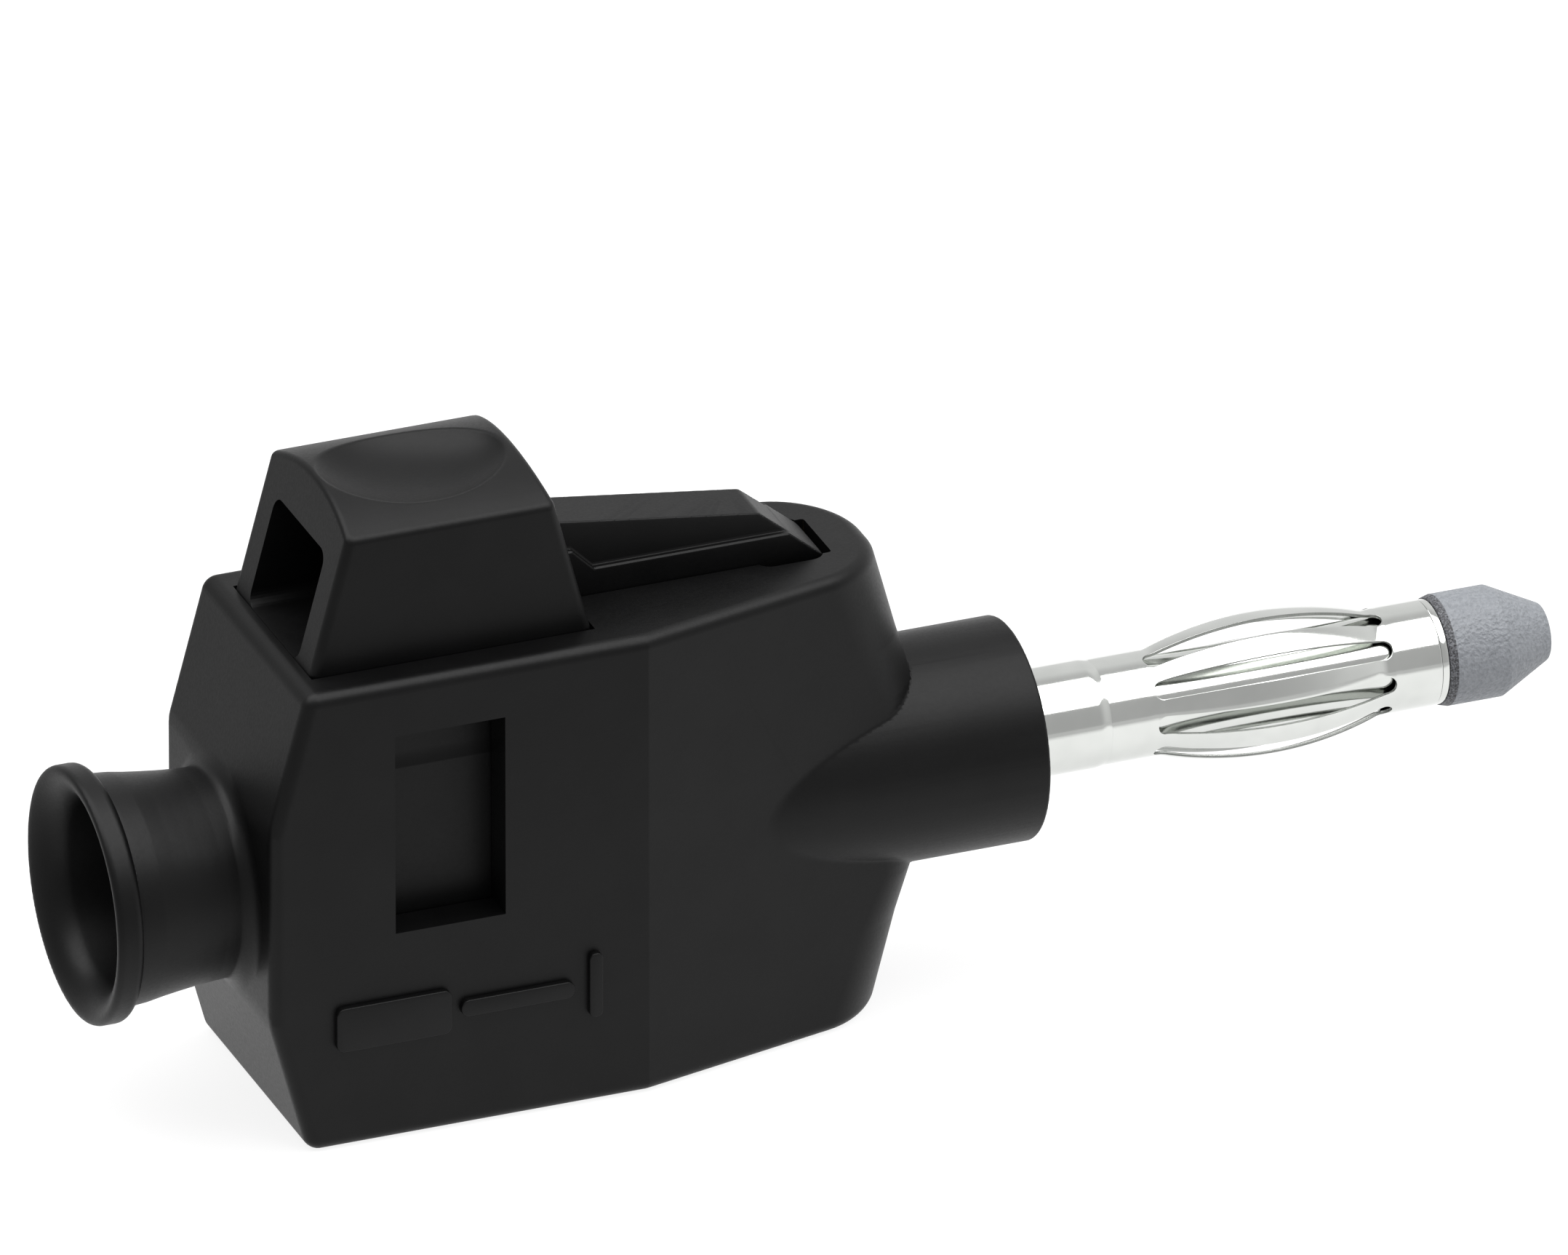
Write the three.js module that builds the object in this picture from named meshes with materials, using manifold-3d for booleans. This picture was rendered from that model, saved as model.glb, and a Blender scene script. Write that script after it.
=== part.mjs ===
// A 4 mm lantern plug with a push-lever clamp for one stripped wire.
//
// Design frame: +X runs along the plug from the wire funnel to the tip, +Z is up, X = 0 lies just
// inside the housing's rear plane, and the pin's axis is at Y = 0, Z = 0. The last lines move the
// assembly so that its origin is the bottom centre of the whole part. Lengths are in millimetres.

import * as THREE from 'three';
import { mergeVertices } from 'three/addons/utils/BufferGeometryUtils.js';
import Module from 'manifold-3d';

const wasm = await Module();
wasm.setup();

// ---- driving dimensions -------------------------------------------------------------------------

const BODY_HALF_WIDTH = 5.2;
const BODY_HALF_HEIGHT = 8.92;
const FLAT_HALF_HEIGHT = 3.7;       // half height of the upright stretch of both ends
const END_LEAN = 1.4;               // how far each end leans in above and below that stretch
const BODY_X = [-0.12, 25.42];
const TAPER_START = 13.98;          // the sides are parallel up to here
const TAPER_SLOPE = 0.2338;
const NOSE_RADIUS = 2.2;

const COLLAR_RADIUS = 4.015;
const COLLAR_FRONT = 29.56;

const CAVITY = { x: [1.84, 14.6], halfWidth: 3.88, floor: -5.3, ceiling: 7.35 };
const HOLE_X = [1.84, 12.55];       // opening for the button in the top
const SLOT = { x: [12.4, 22.33], halfWidth: 1.38, floor: 5.4 };
const WINDOW = { x: [4.5, 8.61], z: [-0.86, 6.85] };

const PIVOT = { x: 20.8, z: 7.3, pinRadius: 0.7, pinHalfLength: 1.6 };
const PIVOT_POCKET = { halfLength: 1.25, halfWidth: 1.7, corner: 0.55, floor: 6.5 };

const BUTTON = { base: [1.94, 12.42], top: [3.3, 11.08], halfWidth: 3.78, corner: 13.98, crown: 14.81 };
const BUTTON_ARCH_RADIUS = 9.0;
const BUTTON_FLOOR = 7.4;
const POCKET = { halfWidth: 2.4, top: 12.75, corner: 0.55, end: 9.8 };
const DIMPLE = { x: 7.3, halfLength: 3.6, halfWidth: 3.2, halfDepth: 1.7, centre: 15.51 };
const SKIRT = { x: [3.0, 10.2], inner: 2.6, outer: 3.74, bottom: -2.4 };
const SKIRT_STEP = { z: 5.1, depth: 0.12 };     // the skirts are thinner above this height
const FINGER = { x: [5.0, 7.4], halfWidth: 1.5, bottom: 5.95 };
const ARM = { narrow: 1.05, wide: 1.28, ledge: 9.9 };

const PIN_RADIUS = 1.945;
const PIN_CLEARANCE = 0.1;
const PIN_SHOULDER = 14.8;
const PIN_FRONT = 32.9;
const TAIL = { radius: 1.0, hole: 1.1, headRadius: 1.5, head: [12.9, 13.3] };
const SPIGOT = { radius: 1.15, end: 48.6 };

const CAGE = { x: [32.98, 45.1], radius: 1.895, thickness: 0.18, peak: 2.55 };
const BOW = [34.85, 43.07];         // the leaves of the cage bow out between these
const LEAF_SLOT = [34.46, 43.46];
const LEAF_COUNT = 9;
const LEAF_SLOT_ANGLE = THREE.MathUtils.degToRad(20.5);
const FIRST_SLOT_ANGLE = THREE.MathUtils.degToRad(141.1);   // from +Y towards +Z

const RING = { x: [45.16, 45.44], radius: 1.87 };
const TIP = { x: [45.5, 49.7], radius: 2.0, coneStart: 47.78, endRadius: 1.15 };

const FRAME_BAR = { x: [3.4, 14.4], z: [1.8, 2.6], halfWidth: 1.6, wall: 0.8, foot: -2.4 };
const SPRING = { thickness: 0.35, halfWidth: 2.3, windowHalf: 1.78 };

const TURNED_SEGMENTS = 48;
const OVERSIZE = 1.0;               // how far a cutting tool runs past the face it cuts

const OVERALL_X = [-5.6, TIP.x[1]];

// ---- solids -------------------------------------------------------------------------------------

function solidFrom(geometry) {
  const bare = geometry.clone();
  bare.deleteAttribute('normal');
  bare.deleteAttribute('uv');
  const merged = mergeVertices(bare, 1e-5);
  return new wasm.Manifold(new wasm.Mesh({
    numProp: 3,
    vertProperties: new Float32Array(merged.attributes.position.array),
    triVerts: new Uint32Array(merged.index.array),
  }));
}

function unite(solids) {
  return solids.reduce((all, next) => all.add(next));
}

function block([x0, x1], [y0, y1], [z0, z1]) {
  const box = new THREE.BoxGeometry(x1 - x0, y1 - y0, z1 - z0);
  box.translate((x0 + x1) / 2, (y0 + y1) / 2, (z0 + z1) / 2);
  return solidFrom(box);
}

function shapeOf(points) {
  return new THREE.Shape(points.map(([u, v]) => new THREE.Vector2(u, v)));
}

function roundedRectangle(halfU, halfV, corner) {
  const shape = new THREE.Shape();
  shape.moveTo(halfU, -halfV + corner);
  shape.lineTo(halfU, halfV - corner);
  shape.absarc(halfU - corner, halfV - corner, corner, 0, Math.PI / 2);
  shape.absarc(-halfU + corner, halfV - corner, corner, Math.PI / 2, Math.PI);
  shape.absarc(-halfU + corner, -halfV + corner, corner, Math.PI, Math.PI * 1.5);
  shape.absarc(halfU - corner, -halfV + corner, corner, Math.PI * 1.5, Math.PI * 2);
  return shape;
}

// A plan outline in (x, y), raised from z0 to z1.
function raised(shape, [z0, z1], curveSegments = 6) {
  const geometry = new THREE.ExtrudeGeometry(shape, { depth: z1 - z0, bevelEnabled: false, curveSegments });
  geometry.translate(0, 0, z0);
  return solidFrom(geometry);
}

// A side outline in (x, z), from y0 to y1.
function sideways(shape, [y0, y1], curveSegments = 6) {
  const geometry = new THREE.ExtrudeGeometry(shape, { depth: y1 - y0, bevelEnabled: false, curveSegments });
  geometry.rotateX(Math.PI / 2);
  geometry.translate(0, y1, 0);
  return solidFrom(geometry);
}

// A front outline in (y, z), from x0 to x1.
function lengthways(shape, [x0, x1], curveSegments = 6) {
  const geometry = new THREE.ExtrudeGeometry(shape, { depth: x1 - x0, bevelEnabled: false, curveSegments });
  geometry.applyMatrix4(new THREE.Matrix4().set(0, 0, 1, x0, 1, 0, 0, 0, 0, 1, 0, 0, 0, 0, 0, 1));
  return solidFrom(geometry);
}

// A profile of (x, radius) points, turned about the pin's axis.
function turned(profile, segments = TURNED_SEGMENTS) {
  const points = profile.map(([x, radius]) => new THREE.Vector2(radius, x));
  const geometry = new THREE.LatheGeometry(points, segments);
  geometry.rotateZ(-Math.PI / 2);
  geometry.rotateX(Math.PI / segments);
  return solidFrom(geometry);
}

function rod(radius, [x0, x1], segments = TURNED_SEGMENTS) {
  return turned([[x0, 0], [x0, radius], [x1, radius], [x1, 0]], segments);
}

// A round bar across the part, along Y, on the lever's pivot.
function crossRod(radius, halfLength, segments = 32) {
  const geometry = new THREE.CylinderGeometry(radius, radius, 2 * halfLength, segments);
  geometry.translate(PIVOT.x, 0, PIVOT.z);
  return solidFrom(geometry);
}

function tapered(x) {
  return BODY_HALF_WIDTH - (x - TAPER_START) * TAPER_SLOPE;
}

// ---- housing ------------------------------------------------------------------------------------

function bodyPlan() {
  const lean = Math.atan(TAPER_SLOPE);
  const centreX = BODY_X[1] - NOSE_RADIUS;
  const centreY = tapered(centreX) - NOSE_RADIUS / Math.cos(lean);
  const plan = new THREE.Shape();
  plan.moveTo(BODY_X[0], -BODY_HALF_WIDTH);
  plan.lineTo(TAPER_START, -BODY_HALF_WIDTH);
  plan.absarc(centreX, -centreY, NOSE_RADIUS, lean - Math.PI / 2, 0);
  plan.absarc(centreX, centreY, NOSE_RADIUS, 0, Math.PI / 2 - lean);
  plan.lineTo(TAPER_START, BODY_HALF_WIDTH);
  plan.lineTo(BODY_X[0], BODY_HALF_WIDTH);
  return plan;
}

function bodySide() {
  const [left, right] = BODY_X;
  return shapeOf([
    [left + END_LEAN, -BODY_HALF_HEIGHT],
    [right - END_LEAN, -BODY_HALF_HEIGHT],
    [right, -FLAT_HALF_HEIGHT],
    [right, FLAT_HALF_HEIGHT],
    [right - END_LEAN, BODY_HALF_HEIGHT],
    [left + END_LEAN, BODY_HALF_HEIGHT],
    [left, FLAT_HALF_HEIGHT],
    [left, -FLAT_HALF_HEIGHT],
  ]);
}

function makeHousing() {
  const halfHeight = BODY_HALF_HEIGHT + OVERSIZE;
  const halfWidth = BODY_HALF_WIDTH + OVERSIZE;
  const body = raised(bodyPlan(), [-halfHeight, halfHeight], 10)
    .intersect(sideways(bodySide(), [-halfWidth, halfWidth]));

  const collar = rod(COLLAR_RADIUS, [CAVITY.x[1] + OVERSIZE, COLLAR_FRONT]);
  const funnel = turned([
    [-5.4, 0], [-5.4, 4.2], [-5.6, 4.35], [-5.52, 4.55], [-5.0, 4.62], [-4.6, 4.55], [-4.5, 4.25],
    [-3.4, 4.05], [-2.4, 3.9], [-1.6, 3.79], [0.0, 3.74], [1.0, 3.9], [1.0, 0],
  ]);
  const funnelBore = turned([
    [-7, 0], [-7, 5.2], [-5.6, 4.35], [-5.4, 4.15], [-4.2, 3.7], [-1.8, 3.08], [-0.6, 2.55], [0.2, 2.45],
    [2.5, 2.45], [2.5, 0],
  ]);

  const cavity = block(
    CAVITY.x,
    [-CAVITY.halfWidth, CAVITY.halfWidth],
    [CAVITY.floor, CAVITY.ceiling],
  );
  const hole = block(
    HOLE_X,
    [-CAVITY.halfWidth, CAVITY.halfWidth],
    [CAVITY.ceiling - OVERSIZE, halfHeight],
  );
  const slot = block(SLOT.x, [-SLOT.halfWidth, SLOT.halfWidth], [SLOT.floor, halfHeight]);
  const pocketPlan = roundedRectangle(PIVOT_POCKET.halfLength, PIVOT_POCKET.halfWidth, PIVOT_POCKET.corner);
  const pivotPocket = raised(pocketPlan, [PIVOT_POCKET.floor, halfHeight], 4).translate([PIVOT.x, 0, 0]);
  const windows = block(WINDOW.x, [-halfWidth, halfWidth], WINDOW.z);
  const pinBore = rod(PIN_RADIUS + PIN_CLEARANCE, [CAVITY.x[1] - OVERSIZE, COLLAR_FRONT + OVERSIZE]);

  return unite([body, collar, funnel])
    .subtract(unite([funnelBore, cavity, hole, slot, pivotPocket, windows, pinBore]));
}

// ---- push lever: button, skirts and arm in one moulding --------------------------------------------

function buttonFront() {
  const archCentre = BUTTON.crown - BUTTON_ARCH_RADIUS;
  const halfAngle = Math.asin(BUTTON.halfWidth / BUTTON_ARCH_RADIUS);
  const front = new THREE.Shape();
  front.moveTo(-BUTTON.halfWidth, BUTTON_FLOOR);
  front.lineTo(BUTTON.halfWidth, BUTTON_FLOOR);
  front.absarc(0, archCentre, BUTTON_ARCH_RADIUS, Math.PI / 2 - halfAngle, Math.PI / 2 + halfAngle);
  return front;
}

function makeButton() {
  const topLean = (BUTTON.top[0] - BUTTON.base[0]) / (BUTTON.corner - BODY_HALF_HEIGHT);
  const endLean = (BUTTON.base[1] - BUTTON.top[1]) / (BUTTON.corner - BODY_HALF_HEIGHT);
  const rise = BUTTON.crown + OVERSIZE - BODY_HALF_HEIGHT;
  const side = shapeOf([
    [BUTTON.base[0], BUTTON_FLOOR],
    [BUTTON.base[1], BUTTON_FLOOR],
    [BUTTON.base[1], BODY_HALF_HEIGHT],
    [BUTTON.base[1] - endLean * rise, BUTTON.crown + OVERSIZE],
    [BUTTON.base[0] + topLean * rise, BUTTON.crown + OVERSIZE],
    [BUTTON.base[0], BODY_HALF_HEIGHT],
  ]);
  const outer = lengthways(buttonFront(), [0, TAPER_START], 8)
    .intersect(sideways(side, [-BODY_HALF_WIDTH, BODY_HALF_WIDTH]));

  const pocketHeight = POCKET.top - BODY_HALF_HEIGHT;
  const pocket = lengthways(
    roundedRectangle(POCKET.halfWidth, pocketHeight / 2, POCKET.corner),
    [0, POCKET.end],
    4,
  ).translate([0, 0, BODY_HALF_HEIGHT + pocketHeight / 2]);

  const bowl = new THREE.SphereGeometry(1, 40, 24);
  bowl.scale(DIMPLE.halfLength, DIMPLE.halfWidth, DIMPLE.halfDepth);
  bowl.translate(DIMPLE.x, 0, DIMPLE.centre);
  return outer.subtract(pocket).subtract(solidFrom(bowl));
}

function armSide(top) {
  const boss = 1.3;
  const side = new THREE.Shape();
  top.forEach(([x, z], index) => {
    if (index === 0) {
      side.moveTo(x, z);
    } else {
      side.lineTo(x, z);
    }
  });
  side.absarc(PIVOT.x, PIVOT.z, boss, 0.55, -Math.PI * 0.6, true);
  side.lineTo(12.0, BUTTON_FLOOR);
  return side;
}

function makeLever() {
  const narrowArm = sideways(
    armSide([[11.6, 11.88], [12.34, 11.78], [19.74, 10.75], [21.99, 8.89]]),
    [-ARM.narrow, ARM.narrow],
    10,
  );
  const wideArm = sideways(
    armSide([[12.0, 10.7], [12.66, 10.7], [13.39, ARM.ledge], [20.76, ARM.ledge], [21.99, 8.89]]),
    [-ARM.wide, ARM.wide],
    10,
  );
  const skirts = [-1, 1].map((side) => {
    const faces = [side * SKIRT.inner, side * SKIRT.outer].sort((a, b) => a - b);
    return block(SKIRT.x, faces, [SKIRT.bottom, BUTTON_FLOOR + OVERSIZE / 2]);
  });
  const steps = [-1, 1].map((side) => {
    const outer = side * (SKIRT.outer + OVERSIZE);
    const inner = side * (SKIRT.outer - SKIRT_STEP.depth);
    return block([0, TAPER_START], [outer, inner].sort((a, b) => a - b), [SKIRT_STEP.z, BUTTON_FLOOR]);
  });
  const finger = block(
    FINGER.x,
    [-FINGER.halfWidth, FINGER.halfWidth],
    [FINGER.bottom, BUTTON_FLOOR + OVERSIZE / 2],
  );
  return unite([makeButton(), narrowArm, wideArm, ...skirts, finger])
    .subtract(unite(steps))
    .subtract(crossRod(PIVOT.pinRadius + 0.05, BODY_HALF_WIDTH));
}

// ---- contacts -----------------------------------------------------------------------------------

function makePlugPin() {
  const supportRadius = CAGE.radius - CAGE.thickness - PIN_CLEARANCE;
  return turned([
    [TAIL.head[0], 0], [TAIL.head[0], TAIL.headRadius - 0.3], [TAIL.head[0] + 0.2, TAIL.headRadius],
    [TAIL.head[1], TAIL.headRadius], [TAIL.head[1], TAIL.radius], [PIN_SHOULDER, TAIL.radius],
    [PIN_SHOULDER, PIN_RADIUS], [PIN_FRONT, PIN_RADIUS], [PIN_FRONT, supportRadius],
    [CAGE.x[1], supportRadius], [CAGE.x[1], SPIGOT.radius],
    [SPIGOT.end, SPIGOT.radius], [SPIGOT.end, 0],
  ]);
}

// Radius of the cage's outer surface at x: plain ends and a circular bow between them.
function cageRadius(x) {
  const middle = (BOW[0] + BOW[1]) / 2;
  const halfChord = (BOW[1] - BOW[0]) / 2;
  const rise = CAGE.peak - CAGE.radius;
  const bowRadius = (halfChord ** 2 + rise ** 2) / (2 * rise);
  const offset = Math.min(Math.abs(x - middle), halfChord);
  return CAGE.radius + Math.sqrt(bowRadius ** 2 - offset ** 2) - (bowRadius - rise);
}

function makeLanternCage() {
  const steps = 10;
  const stations = [CAGE.x[0]];
  for (let i = 0; i <= steps; i += 1) {
    stations.push(BOW[0] + ((BOW[1] - BOW[0]) * i) / steps);
  }
  stations.push(CAGE.x[1]);
  const outer = stations.map((x) => [x, cageRadius(x)]);
  const inner = stations.map((x) => [x, cageRadius(x) - CAGE.thickness]).reverse();
  const shell = turned([...outer, ...inner, outer[0]]);

  const reach = CAGE.peak + OVERSIZE;
  const halfAngle = LEAF_SLOT_ANGLE / 2;
  const cutters = [];
  for (let i = 0; i < LEAF_COUNT; i += 1) {
    const angle = FIRST_SLOT_ANGLE + (i * 2 * Math.PI) / LEAF_COUNT;
    const wedge = shapeOf([
      [0, 0],
      [reach * Math.cos(angle - halfAngle), reach * Math.sin(angle - halfAngle)],
      [reach * Math.cos(angle + halfAngle), reach * Math.sin(angle + halfAngle)],
    ]);
    cutters.push(lengthways(wedge, LEAF_SLOT));
  }
  return cutters.reduce((cage, cutter) => cage.subtract(cutter), shell);
}

function makeRetainingRing() {
  return rod(RING.radius, RING.x).subtract(rod(SPIGOT.radius + PIN_CLEARANCE, [CAGE.x[1], TIP.x[0]]));
}

function makeInsulatingTip() {
  const tip = turned([
    [TIP.x[0], 0], [TIP.x[0], TIP.radius - 0.12], [TIP.x[0] + 0.1, TIP.radius],
    [TIP.coneStart, TIP.radius], [TIP.x[1] - 0.15, TIP.endRadius + 0.05],
    [TIP.x[1], TIP.endRadius - 0.15], [TIP.x[1], 0],
  ]);
  return tip.subtract(rod(SPIGOT.radius + PIN_CLEARANCE, [CAGE.x[1], SPIGOT.end + 0.1]));
}

// ---- clamp ----------------------------------------------------------------------------------------

function makeContactFrame() {
  const { x, z, halfWidth, wall, foot } = FRAME_BAR;
  const side = shapeOf([
    [x[0], z[0]], [x[1] - wall, z[0]], [x[1] - wall, foot], [x[1], foot], [x[1], z[1]], [x[0], z[1]],
  ]);
  return sideways(side, [-halfWidth, halfWidth]).subtract(rod(TAIL.hole, [x[1] - 2, x[1] + 2], 32));
}

function makeClampSpring() {
  const anchorZ = FRAME_BAR.z[1] + 0.1 + SPRING.thickness / 2;
  const loop = { x: 11.6, z: anchorZ + 1.42, radius: 1.42 };
  const legX = 4.6;
  const bend = 0.7;
  const legEnd = 0.3;
  const middle = [[7.0, anchorZ]];
  for (let i = 0; i <= 12; i += 1) {
    const angle = -Math.PI / 2 + (Math.PI * i) / 12;
    middle.push([loop.x + loop.radius * Math.cos(angle), loop.z + loop.radius * Math.sin(angle)]);
  }
  const shoulderZ = loop.z + loop.radius - 0.4;
  for (let i = 0; i <= 5; i += 1) {
    const angle = Math.PI / 2 + (Math.PI / 2) * (i / 5);
    middle.push([legX + bend + bend * Math.cos(angle), shoulderZ - bend + bend * Math.sin(angle)]);
  }
  middle.push([legX, legEnd]);

  const edge = (side) => middle.map((point, i) => {
    const before = middle[Math.max(i - 1, 0)];
    const after = middle[Math.min(i + 1, middle.length - 1)];
    const length = Math.hypot(after[0] - before[0], after[1] - before[1]);
    const reach = (side * SPRING.thickness) / 2 / length;
    return [point[0] - (after[1] - before[1]) * reach, point[1] + (after[0] - before[0]) * reach];
  });
  const strip = sideways(shapeOf([...edge(-1), ...edge(1).reverse()]), [-SPRING.halfWidth, SPRING.halfWidth]);
  const wireWindow = block(
    [legX - OVERSIZE, legX + 0.5],
    [-SPRING.windowHalf, SPRING.windowHalf],
    [FRAME_BAR.z[0] - 0.3, shoulderZ - bend - 0.2],
  );
  return strip.subtract(wireWindow);
}

// ---- assembly -----------------------------------------------------------------------------------

const BLACK_POLYAMIDE = { color: 0x1b1c1d, roughness: 0.62, metalness: 0 };
const GREY_POLYAMIDE = { color: 0x8e9299, roughness: 0.7, metalness: 0 };
const NICKEL = { color: 0xc9c9c6, roughness: 0.18, metalness: 1 };
const BRASS = { color: 0xc9a44c, roughness: 0.3, metalness: 1 };
const TINNED_COPPER = { color: 0xb9b7b0, roughness: 0.35, metalness: 1 };
const SPRING_STEEL = { color: 0xa9aaac, roughness: 0.28, metalness: 1 };

function piece(name, solid, finish) {
  const { vertProperties, triVerts } = solid.getMesh();
  const geometry = new THREE.BufferGeometry();
  geometry.setAttribute('position', new THREE.BufferAttribute(vertProperties, 3));
  geometry.setIndex(new THREE.BufferAttribute(triVerts, 1));
  geometry.computeVertexNormals();
  const mesh = new THREE.Mesh(geometry, new THREE.MeshStandardMaterial(finish));
  mesh.name = name;
  return mesh;
}

const group = new THREE.Group();
group.add(
  piece('housing', makeHousing(), BLACK_POLYAMIDE),
  piece('push_lever', makeLever(), BLACK_POLYAMIDE),
  piece('pivot_pin', crossRod(PIVOT.pinRadius, PIVOT.pinHalfLength), BRASS),
  piece('plug_pin', makePlugPin(), NICKEL),
  piece('lantern_cage', makeLanternCage(), NICKEL),
  piece('retaining_ring', makeRetainingRing(), NICKEL),
  piece('insulating_tip', makeInsulatingTip(), GREY_POLYAMIDE),
  piece('contact_frame', makeContactFrame(), TINNED_COPPER),
  piece('clamp_spring', makeClampSpring(), SPRING_STEEL),
);
group.position.set(-(OVERALL_X[0] + OVERALL_X[1]) / 2, 0, BODY_HALF_HEIGHT);

export default group;
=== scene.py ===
import functools
import math

import bmesh
import bpy
import numpy as np
from mathutils import Matrix, Vector


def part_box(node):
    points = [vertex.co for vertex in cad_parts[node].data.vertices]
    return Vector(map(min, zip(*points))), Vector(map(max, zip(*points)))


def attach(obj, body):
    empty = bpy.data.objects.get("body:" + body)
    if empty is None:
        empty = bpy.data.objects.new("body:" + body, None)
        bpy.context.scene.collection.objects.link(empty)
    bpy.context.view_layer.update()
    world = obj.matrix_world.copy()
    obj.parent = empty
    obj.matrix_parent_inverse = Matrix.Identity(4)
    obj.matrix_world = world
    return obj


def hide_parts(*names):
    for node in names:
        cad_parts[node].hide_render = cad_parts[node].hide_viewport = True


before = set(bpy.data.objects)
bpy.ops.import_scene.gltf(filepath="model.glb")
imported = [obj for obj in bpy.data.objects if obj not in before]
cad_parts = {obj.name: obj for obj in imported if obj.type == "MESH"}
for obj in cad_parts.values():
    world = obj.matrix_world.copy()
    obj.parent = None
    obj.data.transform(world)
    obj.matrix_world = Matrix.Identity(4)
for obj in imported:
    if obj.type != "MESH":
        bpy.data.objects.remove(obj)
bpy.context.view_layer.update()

# A 4 mm lantern plug with a push-lever clamp. Shapes are worked out in millimetres in the plug's own
# frame: X = 0 lies just inside the housing's rear plane, and Y = 0, Z = 0 is the pin's axis. to_row()
# moves them to the row's frame, in metres, by the place of a CAD node.

MM = 0.001
TIP_END = 49.7
AXIS_Z = 8.92
SHIFT = np.array([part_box("insulating_tip")[1][0] - TIP_END * MM, 0.0, AXIS_Z * MM])


def to_row(points):
    return np.asarray(points, float) * MM + SHIFT


# ---- dimensions -----------------------------------------------------------------------------------

HALF_WIDTH = 5.2
HALF_HEIGHT = 8.92
FLAT_HALF = 3.7
END_SLOPE = 0.2686
REAR = -0.12
FRONT = 25.4
TAPER_START = 13.98
TAPER_SLOPE = 0.2338
NOSE_ROUNDING = ((3.2, 5.4, 8.6), (1.66, 2.2, 2.45))     # half heights and the nose corner's radius there
EDGE = 0.45
NOSE_BREAK = 0.25                   # rounding between the nose's flat and its leaning faces
REAR_BREAK = 0.1

COLLAR_RADIUS = 4.015
COLLAR_FRONT = 29.56
COLLAR_REAR = 16
COLLAR_EDGE = 0.12
COLLAR_FILLET = 0.05                # where the collar runs out of the body

NECK_X = (-4.9, 2.0)
NECK_STATIONS = (-4.9, -4.4, -3.6, -3.0, -2.4, -1.8, -1.2, -0.6, 0.0, 2.0)
NECK_RADII = (4.15, 4.15, 4.08, 3.98, 3.90, 3.83, 3.775, 3.74, 3.72, 3.72)
NECK_FILLET = 0.6                   # between the neck and the body
RIM_X = (-5.6, -4.55)
RIM_RADII = (2.9, 4.62)
RIM_EDGE = 0.3
RIM_CREASE = 0.04
BORE_MOUTH = (-4.4, 3.3)            # x and radius from which the bore tapers at BORE_TAPER
BORE_TAPER = 0.18
BORE_RADIUS = 2.45
BORE_END = 2.6
BORE_FLARE = 1.2
BORE_LIP = 0.1

CAVITY_X = (1.86, 14.6)
CAVITY_HALF = 3.86
CAVITY_Z = (-5.3, 7.35)
HOLE_X = (1.93, 12.5)
HOLE_HALF = 3.83
WINDOW_X = (4.5, 8.61)
WINDOW_Z = (-0.86, 6.85)
POCKET_HALF = 2.4
POCKET_TOP = 12.97
SLOT_X = (12.3, 22.33)
SLOT_HALF = 1.36
PIVOT = (20.8, 7.3)

BUTTON_X = (1.94, 12.42)            # at the housing's top; both ends lean in above it
BUTTON_HALF = 3.78
BUTTON_BOTTOM = 7.4
BUTTON_REAR = (0.2676, 0.966)       # slope and its cosine
BUTTON_FRONT = (0.2637, 0.967)
BUTTON_EDGES = (0.3, 0.32, 0.18, 0.1)           # ends, sides, roof and bottom
ROOF = (5.81, 9.0)                  # the arch's centre height and radius
BOWL_CENTRE = (7.1, 15.51)
BOWL_HALF = (3.75, 3.38, 1.75)      # half axes of the finger dimple
BOWL_RIM = 0.05

BOSS_RADIUS = 1.3
PIVOT_HOLE = 0.75
ARM_START = 11.0
ARM_UNDERSIDE = (12.0, 7.38, 0.145)             # x, z and slope
ARM_TOP = (12.34, 11.78, 0.1392, 0.9905)        # x, z, slope and its cosine
ARM_CHAMFER = (21.99, 8.89, 0.8267, 0.7707)
ARM_END = 22.08
ARM_HALVES = (1.05, 1.28)           # above and below the ledge
ARM_EDGES = (0.07, 0.06)
LEDGE = (9.9, 10.7)                 # height of the ledge, and of its raised start
LEDGE_SLOPE = (13.39, 9.96, 0.7071)

SKIRT_X = (3.0, 10.2)
SKIRT_Y = (2.6, 3.74)
SKIRT_Z = (-2.4, 8.0)
COVE = (4.8, 0.6, 0.12)             # start height, rise and depth of the step in the skirts
FINGER_X = (5.0, 7.4)
FINGER_HALF = 1.5
FINGER_BOTTOM = 5.95

PIN_RADIUS = 1.945
CAGE_RADIUS = 1.895
CAGE_PEAK = 2.55
STEP_X = (32.3, 32.8)               # the pin's smooth step down to the sleeve
STEP_POINTS = 9
MARKS_Z = -4.19                     # height of the strip-length guide on the near side
MARKS_RELIEF = 0.24
SHEET = 0.12                        # thickness of the sleeve
CAGE_X = (32.55, 45.205)
RING_X = (45.22, 45.485)
TIP_BAND = 45.79                    # the tip's dark rear rim ends here
BOW = (34.85, 43.07)
LEAF_SLOT = (34.46, 43.46)
LEAF_COUNT = 9
SLOT_ANGLE = math.radians(20.5)
FIRST_SLOT = math.radians(141.1)
CORE_RADIUS = 1.615                 # the pin under the cage
SPIGOT_RADIUS = 1.15                # and inside the ring and the tip


# ---- distance fields ------------------------------------------------------------------------------
# A field is negative inside a solid. round_max and round_min join two fields with a fillet.

def round_max(a, b, r):
    corner = np.hypot(np.maximum(a + r, 0), np.maximum(b + r, 0))
    return np.minimum(-r, np.maximum(a, b)) + corner


def round_min(a, b, r):
    return -round_max(-a, -b, r)


def slab(v, low, high):
    return np.maximum(low - v, v - high)


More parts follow.
